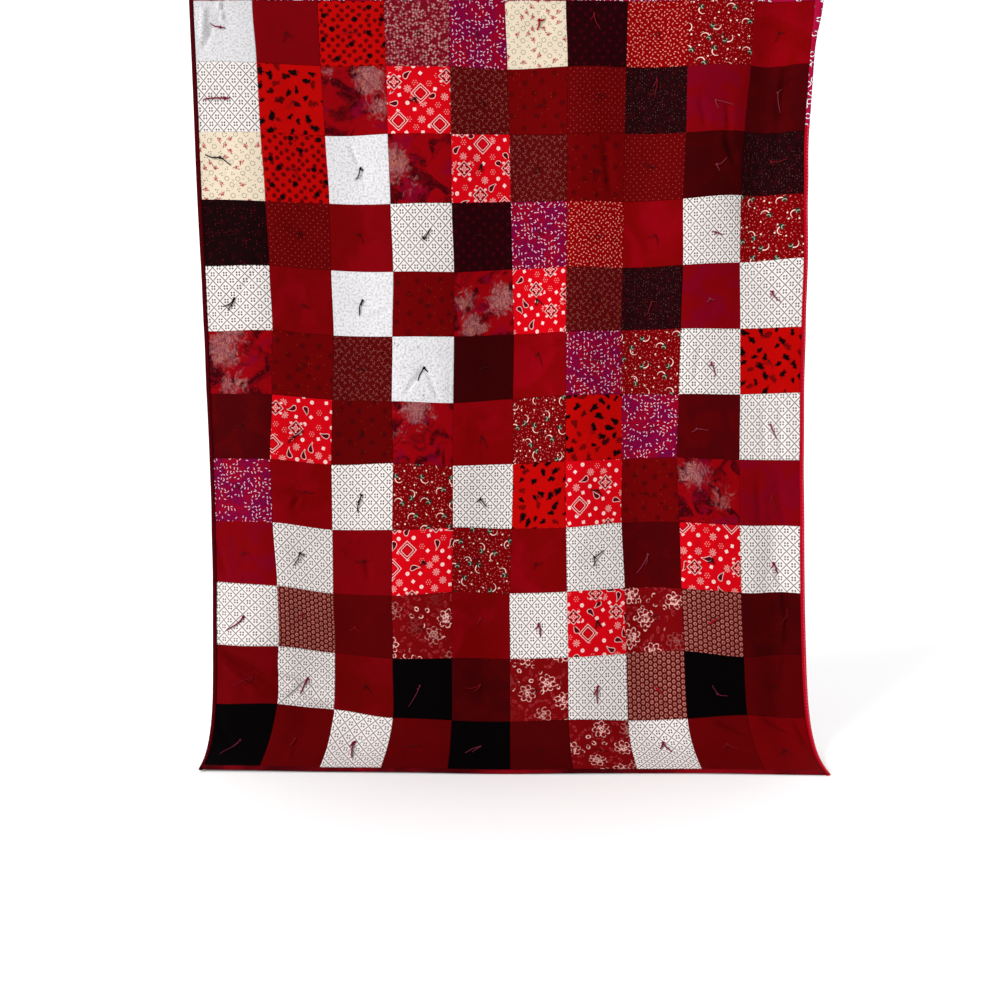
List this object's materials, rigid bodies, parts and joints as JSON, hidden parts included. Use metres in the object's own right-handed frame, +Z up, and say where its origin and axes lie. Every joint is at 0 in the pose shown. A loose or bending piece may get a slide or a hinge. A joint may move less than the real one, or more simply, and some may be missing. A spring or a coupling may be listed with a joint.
{
  "type": "patchwork quilt",
  "caption": "Tied patchwork quilt in red, white and black prints, hanging from its top edge with its hem kicked out on the floor.",
  "frame": {"origin": "centre of the top edge, where the quilt hangs from", "axes": "+X to the right as seen from the front, +Y toward the back, +Z up; the patchwork faces -Y"},
  "size_m": [1.4487, 0.2188, 1.751],
  "materials": {
    "patchwork": "matte woven cotton patches",
    "binding_maroon": "matte woven cotton",
    "binding_crimson": "matte woven cotton",
    "binding_loops": "matte woven cotton, printed",
    "binding_red": "matte woven cotton"
  },
  "bodies": {
    "root": {"quilt": "patchwork", "binding_left": "binding_maroon", "binding_right": "binding_crimson", "binding_top": "binding_loops", "binding_bottom": "binding_red"}
  },
  "joints": []
}
